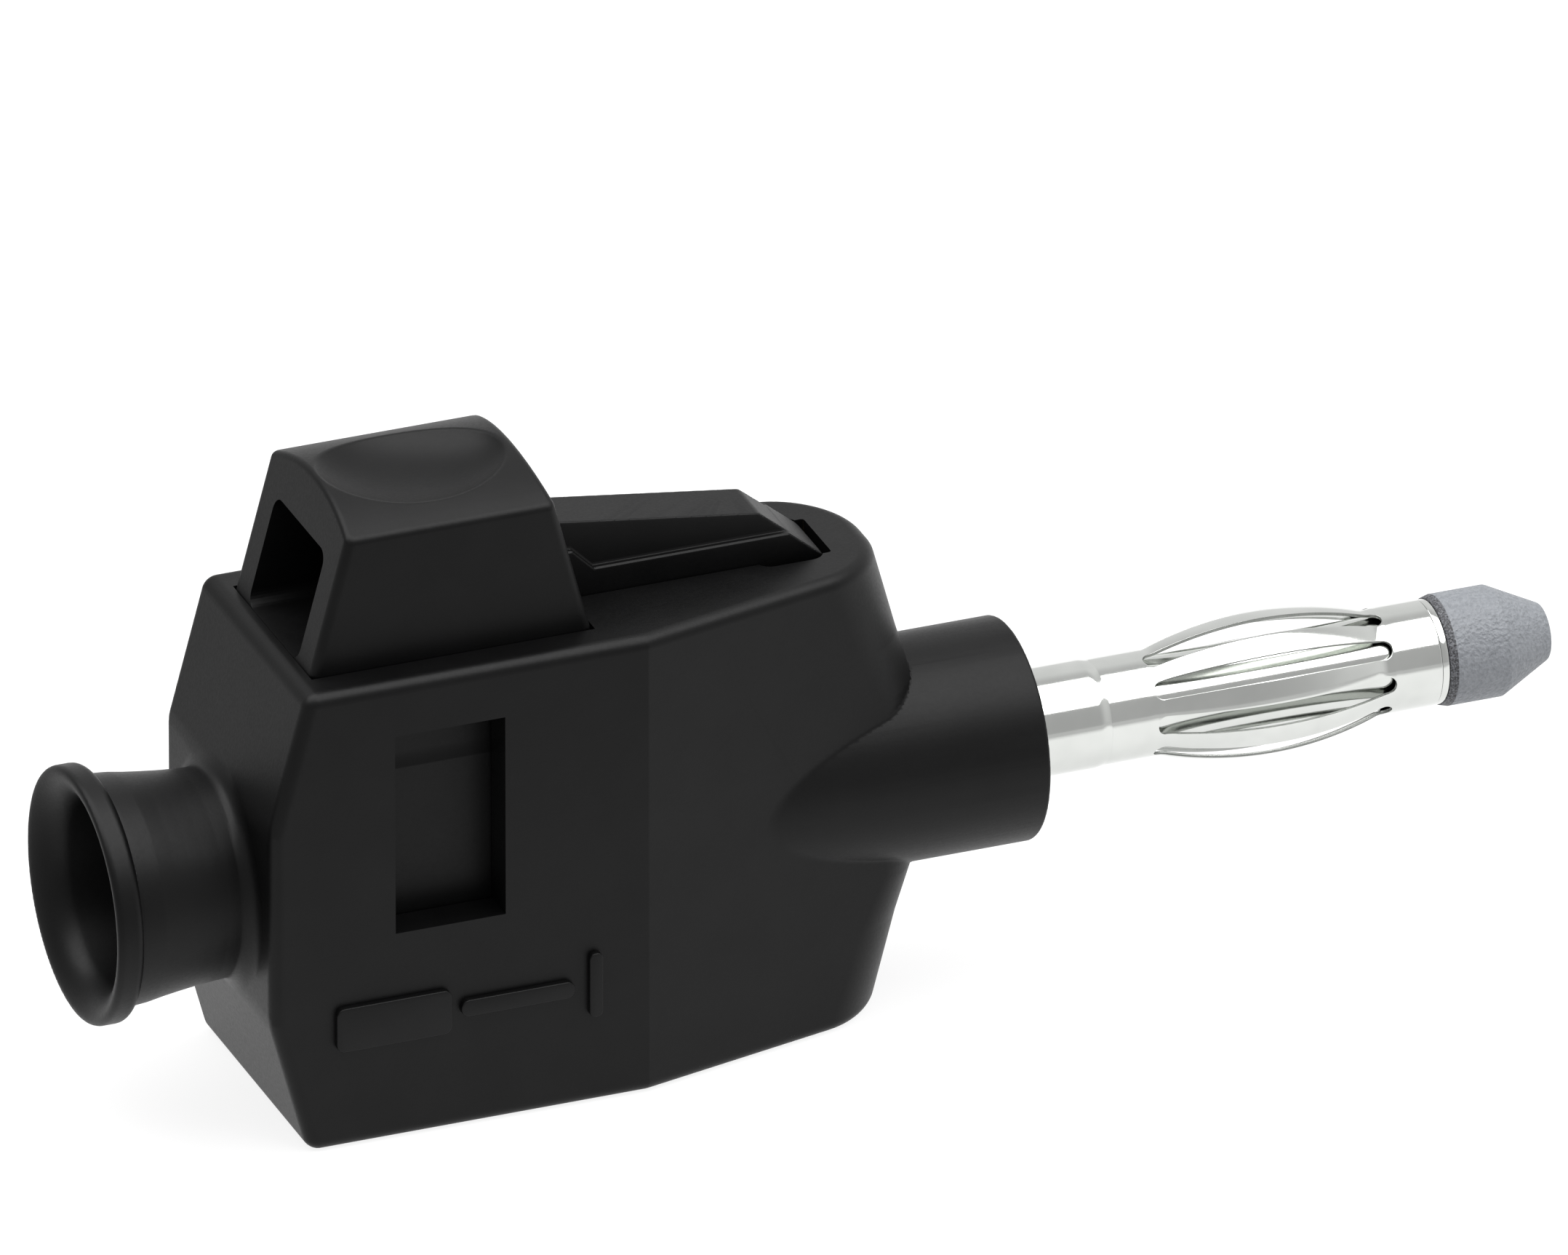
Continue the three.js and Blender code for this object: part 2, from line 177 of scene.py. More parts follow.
def rounded_box(spans, r):
    """Distance to a box given as (value, low, high) on each axis, with edges of radius r."""
    q = [np.abs(v - (low + high) / 2) - (high - low) / 2 + r for v, low, high in spans]
    outside = np.sqrt(sum(np.maximum(d, 0) ** 2 for d in q))
    inside = np.minimum(functools.reduce(np.maximum, q), 0)
    return outside + inside - r


def funnel_outer(x):
    """Outer radius of the funnel's neck."""
    return np.interp(x, NECK_STATIONS, NECK_RADII)


def funnel_bore(x, rr):
    """Field of the funnel's bore: a slow taper that flares out to the rim's front."""
    radius = np.maximum(BORE_MOUTH[1] - (x - BORE_MOUTH[0]) * BORE_TAPER, BORE_RADIUS)
    taper = np.maximum(rr - radius, x - BORE_END)
    return round_min(taper, x - RIM_X[0], BORE_FLARE)


def housing_field(x, y, z):
    ay, az, rr = np.abs(y), np.abs(z), np.hypot(y, z)
    lean = math.atan(END_SLOPE)
    nose = round_max(x - FRONT, (x - FRONT + (az - FLAT_HALF) * END_SLOPE) * math.cos(lean), NOSE_BREAK)
    rear = round_max(REAR - x, (REAR + (az - FLAT_HALF) * END_SLOPE - x) * math.cos(lean), REAR_BREAK)
    taper = (ay - HALF_WIDTH + (x - TAPER_START) * TAPER_SLOPE) * math.cos(math.atan(TAPER_SLOPE))
    sides = np.maximum(ay - HALF_WIDTH, taper)
    plan = round_max(sides, nose, np.interp(az, *NOSE_ROUNDING))
    body = round_max(round_max(plan, rear, EDGE), az - HALF_HEIGHT, EDGE)

    front = round_max(rr - COLLAR_RADIUS, x - COLLAR_FRONT, COLLAR_EDGE)
    collar = round_max(front, COLLAR_REAR - x, 0.5)
    neck = np.maximum(rr - funnel_outer(x), slab(x, *NECK_X))
    rim = rounded_box([(x, *RIM_X), (rr, *RIM_RADII)], RIM_EDGE)
    funnel = round_min(neck, rim, RIM_CREASE)
    field = round_min(round_min(body, collar, COLLAR_FILLET), funnel, NECK_FILLET)
    return round_max(field, -funnel_bore(x, rr), BORE_LIP)


def button_field(x, y, z):
    rise = np.maximum(z - HALF_HEIGHT, 0)
    ends, sides, ridge, bottom = BUTTON_EDGES
    rear = (BUTTON_X[0] + rise * BUTTON_REAR[0] - x) * BUTTON_REAR[1]
    front = (x - BUTTON_X[1] + rise * BUTTON_FRONT[0]) * BUTTON_FRONT[1]
    roof = np.hypot(y, z - ROOF[0]) - ROOF[1]
    wall = round_max(round_max(rear, front, ends), np.abs(y) - BUTTON_HALF, sides)
    button = round_max(round_max(wall, roof, ridge), BUTTON_BOTTOM - z, bottom)
    a, b, c = BOWL_HALF
    reach = np.sqrt(((x - BOWL_CENTRE[0]) / a) ** 2 + (y / b) ** 2 + ((z - BOWL_CENTRE[1]) / c) ** 2)
    return round_max(button, -(reach - 1) * c, BOWL_RIM)


def arm_side(x, z):
    """The arm seen from the side, from the button to the boss round the pivot."""
    boss = np.hypot(x - PIVOT[0], z - PIVOT[1]) - BOSS_RADIUS
    below = ARM_UNDERSIDE[1] - (x - ARM_UNDERSIDE[0]) * ARM_UNDERSIDE[2] - z
    chamfer = (z - ARM_CHAMFER[1] + (x - ARM_CHAMFER[0]) * ARM_CHAMFER[2]) * ARM_CHAMFER[3]
    end = round_max(chamfer, x - ARM_END, 0.12)
    top = round_max((z - ARM_TOP[1] + (x - ARM_TOP[0]) * ARM_TOP[2]) * ARM_TOP[3], end, 0.06)
    shaft = np.maximum(np.maximum(below, x - PIVOT[0]), ARM_START - x)
    root = np.maximum(np.maximum(top, BUTTON_BOTTOM - z), ARM_START - x)
    stem = np.minimum(root, np.maximum(boss, top))
    return np.minimum(np.maximum(shaft, top), stem)


def arm_field(x, y, z):
    ay, side = np.abs(y), arm_side(x, z)
    narrow = round_max(side, ay - ARM_HALVES[0], ARM_EDGES[0])
    slope = (x - LEDGE_SLOPE[0] + z - LEDGE_SLOPE[1]) * LEDGE_SLOPE[2]
    ledge = np.minimum(z - LEDGE[0], np.maximum(z - LEDGE[1], slope))
    wide = round_max(round_max(side, ledge, ARM_EDGES[1]), ay - ARM_HALVES[1], ARM_EDGES[1])
    return round_min(narrow, wide, 0.05)


def lever_field(x, y, z):
    ay = np.abs(y)
    skirt = rounded_box([(x, *SKIRT_X), (ay, *SKIRT_Y), (z, *SKIRT_Z)], 0.15)
    start, rise, depth = COVE
    cove = depth * (1 - (1 - np.clip((z - start) / rise, 0, 1)) ** 2)
    skirt = np.maximum(skirt, -np.maximum(start - z, SKIRT_Y[1] - cove - ay))
    span = (y, -FINGER_HALF, FINGER_HALF)
    finger = rounded_box([(x, *FINGER_X), span, (z, FINGER_BOTTOM, SKIRT_Z[1])], 0.2)
    upper = round_min(button_field(x, y, z), arm_field(x, y, z), 0.12)
    lever = round_min(upper, np.minimum(skirt, finger), 0.05)
    return np.maximum(lever, PIVOT_HOLE - np.hypot(x - PIVOT[0], z - PIVOT[1]))


# ---- from a field to a mesh -----------------------------------------------------------------------

def gradient(field, points, h=0.01):
    columns = []
    for axis in range(3):
        step = np.zeros(3)
        step[axis] = h
        ahead = field(*(points + step).T)
        behind = field(*(points - step).T)
        columns.append((ahead - behind) / (2 * h))
    return np.stack(columns, 1)


def surface(field, low, high, cell):
    """Points and quads of the field's zero surface, one point to each cell that the surface crosses."""
    grids = [np.arange(low[a] - cell, high[a] + 2 * cell, cell) for a in range(3)]
    values = field(*np.meshgrid(*grids, indexing="ij", sparse=True))
    inside = values < 0
    counts = [n - 1 for n in values.shape]
    corners = [(i, j, k) for i in (0, 1) for j in (0, 1) for k in (0, 1)]
    filled = np.zeros(counts, np.int8)
    for i, j, k in corners:
        filled += inside[i:i + counts[0], j:j + counts[1], k:k + counts[2]]
    cells = np.argwhere((filled > 0) & (filled < 8))
    number = np.full(counts, -1)
    number[tuple(cells.T)] = np.arange(len(cells))

    total = np.zeros((len(cells), 3))
    hits = np.zeros(len(cells))
    for axis in range(3):
        for start in corners:
            if start[axis]:
                continue
            a = cells + start
            b = a.copy()
            b[:, axis] += 1
            fa, fb = values[tuple(a.T)], values[tuple(b.T)]
            crossed = (fa < 0) != (fb < 0)
            t = np.where(crossed, fa / np.where(crossed, fa - fb, 1), 0)
            point = a.astype(float)
            point[:, axis] += t
            total += point * crossed[:, None]
            hits += crossed
    origin = np.array([g[0] for g in grids])
    points = origin + total / hits[:, None] * cell
    home = points.copy()
    for _ in range(3):
        slope = gradient(field, points)
        points -= slope * (field(*points.T) / np.maximum((slope ** 2).sum(1), 0.3))[:, None]
        points = home + np.clip(points - home, -0.6 * cell, 0.6 * cell)

    quads = []
    for axis in range(3):
        u, v = [(1, 2), (2, 0), (0, 1)][axis]
        first = inside[tuple(slice(0, -1) if a == axis else slice(None) for a in range(3))]
        second = inside[tuple(slice(1, None) if a == axis else slice(None) for a in range(3))]
        edges = np.argwhere(first != second)
        edges = edges[(edges[:, u] > 0) & (edges[:, v] > 0)]
        edges = edges[(edges[:, u] < counts[u]) & (edges[:, v] < counts[v])]
        ring = []
        for du, dv in ((-1, -1), (0, -1), (0, 0), (-1, 0)):
            near = edges.copy()
            near[:, u] += du
            near[:, v] += dv
            ring.append(number[tuple(near.T)])
        quad = np.stack(ring, 1)
        outward = inside[tuple(edges.T)]
        quads.append(np.where(outward[:, None], quad, quad[:, ::-1]))
    return points, np.concatenate(quads)


def mesh_object(name, points, faces):
    mesh = bpy.data.meshes.new(name)
    mesh.from_pydata([tuple(p) for p in to_row(points)], [], [tuple(int(i) for i in f) for f in faces])
    mesh.update()
    obj = bpy.data.objects.new(name, mesh)
    bpy.context.scene.collection.objects.link(obj)
    return obj


def from_row(mesh_points):
    return (np.asarray(mesh_points) - SHIFT) / MM


def cut(obj, tools):
    """Cuts the tools out of obj and deletes them."""
    for tool in tools:
        modifier = obj.modifiers.new("cut", "BOOLEAN")
        modifier.operation = "DIFFERENCE"
        modifier.solver = "EXACT"
        modifier.object = tool
        apply_modifiers(obj)
        bpy.data.objects.remove(tool)


def apply_modifiers(obj):
    depsgraph = bpy.context.evaluated_depsgraph_get()
    mesh = bpy.data.meshes.new_from_object(obj.evaluated_get(depsgraph))
    obj.modifiers.clear()
    old = obj.data
    obj.data = mesh
    mesh.name = old.name
    bpy.data.meshes.remove(old)


def merge_flat(obj, degrees=0.12):
    """Joins the faces that lie in one plane, so that flat walls are single faces."""
    work = bmesh.new()
    work.from_mesh(obj.data)
    bmesh.ops.remove_doubles(work, verts=work.verts, dist=1e-7)
    bmesh.ops.dissolve_limit(
        work, angle_limit=math.radians(degrees), verts=work.verts, edges=work.edges,
    )
    work.to_mesh(obj.data)
    work.free()


def smooth_by_field(obj, field, tolerance=0.012):
    """Shades the faces that lie on the field's surface by the field's slope, and the cut faces flat."""
    mesh = obj.data
    mesh.polygons.foreach_set("use_smooth", np.ones(len(mesh.polygons), bool))
    points = np.zeros(len(mesh.vertices) * 3)
    mesh.vertices.foreach_get("co", points)
    points = from_row(points.reshape(-1, 3))
    slope = gradient(field, points)
    slope /= np.linalg.norm(slope, axis=1)[:, None]
    on_surface = np.abs(field(*points.T)) < tolerance
    loops = np.zeros(len(mesh.loops), int)
    mesh.loops.foreach_get("vertex_index", loops)
    normals = slope[loops]
    for polygon in mesh.polygons:
        own = slice(polygon.loop_start, polygon.loop_start + polygon.loop_total)
        face_normal = np.array(polygon.normal)
        agree = normals[own] @ face_normal > 0.8
        keep = on_surface[loops[own]] & agree
        if not keep.all():
            normals[own] = np.where(keep[:, None], normals[own], face_normal)
    mesh.normals_split_custom_set(normals.tolist())


def box_tool(x, y, z):
    work = bmesh.new()
    size = [span[1] - span[0] for span in (x, y, z)]
    centre = [(span[1] + span[0]) / 2 for span in (x, y, z)]
    bmesh.ops.create_cube(work, size=1)
    bmesh.ops.scale(work, vec=size, verts=work.verts)
    bmesh.ops.translate(work, vec=centre, verts=work.verts)
    points = [tuple(v.co) for v in work.verts]
    faces = [[v.index for v in f.verts] for f in work.faces]
    work.free()
    return mesh_object("tool", points, faces)


def plan_tool(outline, z):
    """A closed outline of (x, y) points, raised over the span z."""
    n = len(outline)
    points = [(x, y, z[0]) for x, y in outline] + [(x, y, z[1]) for x, y in outline]
    faces = [list(range(n))[::-1], list(range(n, 2 * n))]
    faces += [[i, (i + 1) % n, n + (i + 1) % n, n + i] for i in range(n)]
    return mesh_object("tool", points, faces)


def end_tool(outline, x):
    """A closed outline of (y, z) points, drawn out over the span x."""
    n = len(outline)
    points = [(x[0], y, z) for y, z in outline] + [(x[1], y, z) for y, z in outline]
    faces = [list(range(n))[::-1], list(range(n, 2 * n))]
    faces += [[i, (i + 1) % n, n + (i + 1) % n, n + i] for i in range(n)]
    obj = mesh_object("tool", points, faces)
    fix_normals(obj)
    return obj


def arc(centre, radius, start, end, count):
    """Points along an arc, in degrees."""
    return [
        (centre[0] + radius * math.cos(a), centre[1] + radius * math.sin(a))
        for a in np.radians(np.linspace(start, end, count))
    ]


def rounded_outline(x, half, radius, count=6):
    low, high = x[0] + radius, x[1] - radius
    side = half - radius
    return (
        arc((high, -side), radius, -90, 0, count) + arc((high, side), radius, 0, 90, count)
        + arc((low, side), radius, 90, 180, count) + arc((low, -side), radius, 180, 270, count)
    )


def revolve(name, profile, turns=144, closed=False):
    """Turns a profile of (x, radius) points about the pin's axis. Open ends get a flat cap."""
    angles = np.arange(turns) * 2 * math.pi / turns
    rings = [[(x, r * math.cos(a), r * math.sin(a)) for a in angles] for x, r in profile]
    points = [p for ring in rings for p in ring]
    count = len(profile)
    faces = []
    for i in range(count if closed else count - 1):
        j = (i + 1) % count
        for k in range(turns):
            m = (k + 1) % turns
            faces.append([i * turns + k, j * turns + k, j * turns + m, i * turns + m])
    if not closed:
        faces.append(list(range(turns)))
        faces.append([(count - 1) * turns + k for k in range(turns)][::-1])
    obj = mesh_object(name, points, faces)
    fix_normals(obj)
    return obj


def fix_normals(obj):
    work = bmesh.new()
    work.from_mesh(obj.data)
    bmesh.ops.remove_doubles(work, verts=work.verts, dist=1e-8)
    bmesh.ops.recalc_face_normals(work, faces=work.faces)
    work.to_mesh(obj.data)
    work.free()


def shade(obj, degrees):
    """Smooth shading, with hard edges where faces meet at more than the angle."""
    mesh = obj.data
    mesh.polygons.foreach_set("use_smooth", np.ones(len(mesh.polygons), bool))
    work = bmesh.new()
    work.from_mesh(mesh)
    for edge in work.edges:
        if len(edge.link_faces) == 2:
            edge.smooth = edge.calc_face_angle(0) < math.radians(degrees)
    work.to_mesh(mesh)
    work.free()


def fillet(profile, index, radius, count=6):
    """The profile with the corner at index replaced by an arc."""
    before, corner, after = (np.array(profile[index + i], float) for i in (-1, 0, 1))
    u = (before - corner) / np.linalg.norm(before - corner)
    v = (after - corner) / np.linalg.norm(after - corner)
    half = math.acos(np.clip(u @ v, -1, 1)) / 2
    reach = radius / math.tan(half)
    centre = corner + (u + v) / np.linalg.norm(u + v) * radius / math.sin(half)
    start, end = corner + u * reach - centre, corner + v * reach - centre
    turn = math.atan2(start[0] * end[1] - start[1] * end[0], start @ end)
    points = []
    for t in np.linspace(0, turn, count):
        c, s = math.cos(t), math.sin(t)
        points.append((centre[0] + c * start[0] - s * start[1], centre[1] + s * start[0] + c * start[1]))
    return profile[:index] + points + profile[index + 1:]


def fillets(profile, corners):
    """Rounds several corners, given as {index: radius}, from the last to the first."""
    for index in sorted(corners, reverse=True):
        profile = fillet(profile, index, corners[index])
    return profile


# ---- materials ------------------------------------------------------------------------------------

class Shader:
    """A short way to write a node material."""

    def __init__(self, name):
        self.material = bpy.data.materials.new(name)
        self.material.use_nodes = True
        self.tree = self.material.node_tree
        self.bsdf = self.tree.nodes["Principled BSDF"]
        self.place = self.add("ShaderNodeTexCoord").outputs["Object"]

    def add(self, kind, inputs=None, **settings):
        node = self.tree.nodes.new(kind)
        for key, value in settings.items():
            setattr(node, key, value)
        for key, value in (inputs or {}).items():
            if isinstance(value, bpy.types.NodeSocket):
                self.tree.links.new(value, node.inputs[key])
            else:
                node.inputs[key].default_value = value
        return node

    def noise(self, scale, detail=2.0, roughness=0.5):
        values = {"Vector": self.place, "Scale": scale, "Detail": detail, "Roughness": roughness}
        return self.add("ShaderNodeTexNoise", values).outputs["Fac"]

    def remap(self, value, low, high, from_low=0.0, from_high=1.0):
        values = {"Value": value, "From Min": from_low, "From Max": from_high, "To Min": low, "To Max": high}
        return self.add("ShaderNodeMapRange", values).outputs["Result"]

    def mix(self, factor, first, second):
        node = self.add("ShaderNodeMix", data_type="RGBA")
        self.tree.links.new(factor, node.inputs[0])
        node.inputs[6].default_value = (*first, 1)
        node.inputs[7].default_value = (*second, 1)
        return node.outputs[2]

    def bump(self, height, distance, strength=1.0, under=None):
        values = {"Height": height, "Distance": distance, "Strength": strength}
        if under is not None:
            values["Normal"] = under
        return self.add("ShaderNodeBump", values).outputs["Normal"]

    def finish(self, sockets):
        for key, value in sockets.items():
            if isinstance(value, bpy.types.NodeSocket):
                self.tree.links.new(value, self.bsdf.inputs[key])
            else:
                self.bsdf.inputs[key].default_value = value
        return self.material


def black_plastic():
    s = Shader("black_polyamide")
    fine = s.noise(9000, 3.0, 0.6)
    broad = s.noise(500, 2.0)
    colour = s.mix(s.remap(broad, 0, 1, 0.3, 0.7), (0.0010, 0.0010, 0.0011), (0.0022, 0.0022, 0.0023))
    rough = s.remap(fine, 0.39, 0.46, 0.3, 0.7)
    normal = s.bump(fine, 0.000012, 0.25)
    return s.finish({"Base Color": colour, "Roughness": rough, "Normal": normal, "IOR": 1.29})


def grey_plastic():
    s = Shader("grey_polyamide")
    wrinkle = s.noise(7500, 1.5)
    tone = s.remap(wrinkle, 0, 1, 0.3, 0.7)
    colour = s.mix(tone, (0.168, 0.178, 0.193), (0.222, 0.233, 0.251))
    speckle = s.mix(s.remap(s.noise(16000, 3.0), 0, 1, 0.4, 0.7), (0.02, 0.02, 0.023), (0.16, 0.165, 0.18))
    along = s.add("ShaderNodeSeparateXYZ", {"Vector": s.place}).outputs["X"]
    band_end = float(to_row((TIP_BAND, 0, 0))[0])
    on_band = s.remap(along, 1, 0, band_end - 0.00002, band_end)
    both = s.add("ShaderNodeMix", data_type="RGBA")
    for socket, value in zip((0, 6, 7), (on_band, colour, speckle)):
        s.tree.links.new(value, both.inputs[socket])
    colour = both.outputs[2]
    normal = s.bump(wrinkle, 0.0001, 0.85)
    rough = s.remap(s.noise(4000), 0.5, 0.65, 0.3, 0.7)
    return s.finish({"Base Color": colour, "Roughness": rough, "Normal": normal})


def metal(name, colour, dark, roughness, grain=0.000002, scale=2500):
    s = Shader(name)
    stretch = s.add("ShaderNodeMapping", {"Vector": s.place, "Scale": (40.0, 1.0, 1.0)})
    values = {"Vector": stretch.outputs["Vector"], "Scale": scale, "Detail": 2.0}
    rings = s.add("ShaderNodeTexNoise", values).outputs["Fac"]
    tone = s.mix(s.remap(s.noise(700), 0, 1, 0.35, 0.65), dark, colour)
    rough = s.remap(rings, roughness * 0.85, roughness * 1.2, 0.3, 0.7)
    normal = s.bump(rings, grain, 0.25)
    return s.finish({"Base Color": tone, "Metallic": 1.0, "Roughness": rough, "Normal": normal})


# ---- pieces ---------------------------------------------------------------------------------------

def make_housing():
    low, high = (-5.7, -5.3, -9.0), (29.7, 5.3, 9.0)
    cell = 0.11
    obj = mesh_object("housing_moulding", *surface(housing_field, low, high, cell))
    past = HALF_HEIGHT + 1.0
    pivot_x = (PIVOT[0] - 1.25, PIVOT[0] + 1.25)
    bore = PIN_RADIUS + 0.02
    tools = [
        box_tool(CAVITY_X, (-CAVITY_HALF, CAVITY_HALF), CAVITY_Z),
        box_tool(HOLE_X, (-HOLE_HALF, HOLE_HALF), (CAVITY_Z[1] - 0.5, past)),
        plan_tool(rounded_outline(SLOT_X, SLOT_HALF, 0.12), (5.4, past)),
        plan_tool(rounded_outline(pivot_x, 1.68, 0.55), (6.5, past)),
        box_tool(WINDOW_X, (-HALF_WIDTH - 1, HALF_WIDTH + 1), WINDOW_Z),
        revolve("tool", [(CAVITY_X[1] - 1.0, bore), (COLLAR_FRONT + 1.0, bore)], 96),
    ]
    cut(obj, tools)
    merge_flat(obj)
    smooth_by_field(obj, housing_field)
    return obj


def make_lever():
    low, high = (1.9, -3.9, -2.5), (22.2, 3.9, 15.0)
    cell = 0.08
    obj = mesh_object("push_lever_moulding", *surface(lever_field, low, high, cell))
    hollow = rounded_outline((HALF_HEIGHT, POCKET_TOP), POCKET_HALF, 0.5, 8)
    cut(obj, [end_tool([(y, z) for z, y in hollow], (1.0, 9.8))])
    merge_flat(obj)
    smooth_by_field(obj, lever_field)
    return obj


def shank_step():
    """An S-shaped run of points from the shank down to just under the sleeve's surface."""
    low = CAGE_RADIUS - 0.005
    return [
        (STEP_X[0] + (STEP_X[1] - STEP_X[0]) * t, low + (PIN_RADIUS - low) * (1 + math.cos(math.pi * t)) / 2)
        for t in np.linspace(0, 1, STEP_POINTS)
    ]


def make_pin():
    profile = [
        (12.9, 0.4), (12.9, 1.3), (13.1, 1.5), (13.3, 1.5), (13.3, 1.0), (14.8, 1.0), (14.8, PIN_RADIUS),
        (15.5, PIN_RADIUS), (STEP_X[0] - 0.05, PIN_RADIUS), *shank_step(),
        (STEP_X[1], CORE_RADIUS), (45.1, CORE_RADIUS), (45.1, SPIGOT_RADIUS),
        (48.6, SPIGOT_RADIUS), (48.6, 0.4),
    ]
    obj = revolve("plug_pin_turned", fillet(profile, 6, 0.3))
    shade(obj, 35)
    return obj


def cage_radius(x):
    middle = (BOW[0] + BOW[1]) / 2
    half_chord = (BOW[1] - BOW[0]) / 2
    rise = CAGE_PEAK - CAGE_RADIUS
    bow = (half_chord ** 2 + rise ** 2) / (2 * rise)
    offset = np.minimum(np.abs(x - middle), half_chord)
    arch = CAGE_RADIUS + np.sqrt(bow ** 2 - offset ** 2) - (bow - rise)
    soft = 0.02
    return CAGE_RADIUS + (arch - CAGE_RADIUS) * (1 - np.exp(-(arch - CAGE_RADIUS) / soft))


def make_cage():
    """The slotted sleeve: rows of points along the pin, whose slot edges close in round ends."""
    end_radius = SLOT_ANGLE / 2 * CAGE_RADIUS
    ends = end_radius * (1 - np.cos(np.linspace(0, math.pi / 2, 9)))
    middle = np.linspace(LEAF_SLOT[0] + end_radius, LEAF_SLOT[1] - end_radius, 49)[1:-1]
    guard = 0.04                    # keeps the shading of the sleeve's ends near them
    stations = np.concatenate([
        [CAGE_X[0], CAGE_X[0] + guard], np.linspace(CAGE_X[0], LEAF_SLOT[0], 6)[1:-1], LEAF_SLOT[0] + ends,
        middle, (LEAF_SLOT[1] - ends)[::-1], np.linspace(LEAF_SLOT[1], CAGE_X[1], 7)[1:-1],
        [CAGE_X[1] - guard, CAGE_X[1]],
    ])
    pitch = 2 * math.pi / LEAF_COUNT
    across = 12
    points, faces = [], []
    for x in stations:
        depth = min(x - LEAF_SLOT[0], LEAF_SLOT[1] - x)
        part = np.clip(depth / end_radius, 0, 1)
        gap = SLOT_ANGLE / 2 * math.sqrt(max(1 - (1 - part) ** 2, 0))
        radius = float(cage_radius(x))
        for leaf in range(LEAF_COUNT):
            start = FIRST_SLOT + leaf * pitch
            for t in np.linspace(gap, pitch - gap, across):
                points.append((x, radius * math.cos(start + t), radius * math.sin(start + t)))
    row = LEAF_COUNT * across
    for i in range(len(stations) - 1):
        for leaf in range(LEAF_COUNT):
            for j in range(across - 1):
                a = i * row + leaf * across + j
                faces.append([a, a + 1, a + 1 + row, a + row])
    obj = mesh_object("lantern_cage_sleeve", points, faces)
    obj.data.materials.append(NICKEL)
    obj.data.materials.append(CUT_EDGE)
    fix_normals(obj)
    if (obj.data.polygons[0].normal @ Vector((0, *points[0][1:]))) < 0:
        obj.data.flip_normals()
    solidify = obj.modifiers.new("sheet", "SOLIDIFY")
    solidify.thickness = SHEET * MM
    solidify.offset = -1
    solidify.material_offset_rim = 1
    apply_modifiers(obj)
    bevel = obj.modifiers.new("edge", "BEVEL")
    bevel.width = 0.02 * MM
    bevel.segments = 2
    bevel.limit_method = "ANGLE"
    bevel.angle_limit = math.radians(50)
    apply_modifiers(obj)
    shade(obj, 40)
    return obj


def make_ring():
    profile = [(RING_X[0], 1.25), (RING_X[0], 1.88), (RING_X[1], 1.88), (RING_X[1], 1.25)]
    rounded = fillets([profile[-1]] + profile + [profile[0]], {2: 0.03, 3: 0.03})[1:-1]
    obj = revolve("retaining_ring_turned", rounded, closed=True)
    shade(obj, 35)
    return obj


def make_tip():
    profile = [
        (45.5, 1.25), (45.5, 1.92), (TIP_BAND, 2.0), (47.78, 2.0), (TIP_END, 1.02), (TIP_END, 0.02),
    ]
    profile = fillets(profile, {1: 0.03, 3: 0.15, 4: 0.15})
    dense = [profile[0]]
    for a, b in zip(profile[:-1], profile[1:]):
        steps = max(1, int(math.dist(a, b) / 0.06))
        dense += [
            (a[0] + (b[0] - a[0]) * i / steps, a[1] + (b[1] - a[1]) * i / steps)
            for i in range(1, steps + 1)
        ]
    dense += [(48.7, 0.02), (48.7, 1.25)]
    obj = revolve("insulating_tip_moulding", dense, turns=200, closed=True)
    shade(obj, 40)
    return obj


def make_pivot():
    profile = [(-1.6, 0.3), (-1.6, 0.7), (1.6, 0.7), (1.6, 0.3)]
    obj = revolve("pivot_pin_turned", fillets(profile, {1: 0.1, 2: 0.1}), 64)
    turn = Matrix.Rotation(math.pi / 2, 4, "Z")
    centre = Vector(to_row([PIVOT[0], 0, PIVOT[1]]))
    own = Matrix.Translation(centre) @ turn @ Matrix.Translation(-Vector(SHIFT))
    obj.data.transform(own)
    shade(obj, 35)
    return obj


def strip_mark(outline, thickness):
    """A raised outline on the housing's near side, in (x, z)."""
    n = len(outline)
    back, front = -HALF_WIDTH + 0.1, -HALF_WIDTH - thickness
    points = [(x, back, z) for x, z in outline] + [(x, front, z) for x, z in outline]
    faces = [list(range(n))[::-1], list(range(n, 2 * n))]
    faces += [[i, (i + 1) % n, n + (i + 1) % n, n + i] for i in range(n)]
    obj = mesh_object("tool", points, faces)
    fix_normals(obj)
    bevel = obj.modifiers.new("edge", "BEVEL")
    bevel.width = 0.05 * MM
    bevel.segments = 3
    bevel.limit_method = "ANGLE"
    apply_modifiers(obj)
    return obj


def make_marks():
    """A generic strip-length guide: insulation, bare conductor and an end stop."""
    bars = ((2.3, 6.6, 0.85, 0.3), (6.95, 11.2, 0.32, 0.3), (11.75, 12.25, 1.25, 0.22))

    def outline(x0, x1, half, radius):
        return [(x - 0.08, z + MARKS_Z) for x, z in rounded_outline((x0, x1), half, radius)]

    marks = [strip_mark(outline(*bar), MARKS_RELIEF) for bar in bars]
    work = bmesh.new()
    for mark in marks:
        work.from_mesh(mark.data)
        bpy.data.objects.remove(mark)
    mesh = bpy.data.meshes.new("strip_length_guide")
    work.to_mesh(mesh)
    work.free()
    obj = bpy.data.objects.new("strip_length_guide", mesh)
    bpy.context.scene.collection.objects.link(obj)
    shade(obj, 35)
    return obj


def add_piece(obj, material, body, slot, *nodes):
    """Hands a piece to the frame. A piece that already has its materials keeps them."""
    if not obj.data.materials:
        obj.data.materials.append(material)
    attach(obj, body)
    if nodes:
        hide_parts(*nodes)


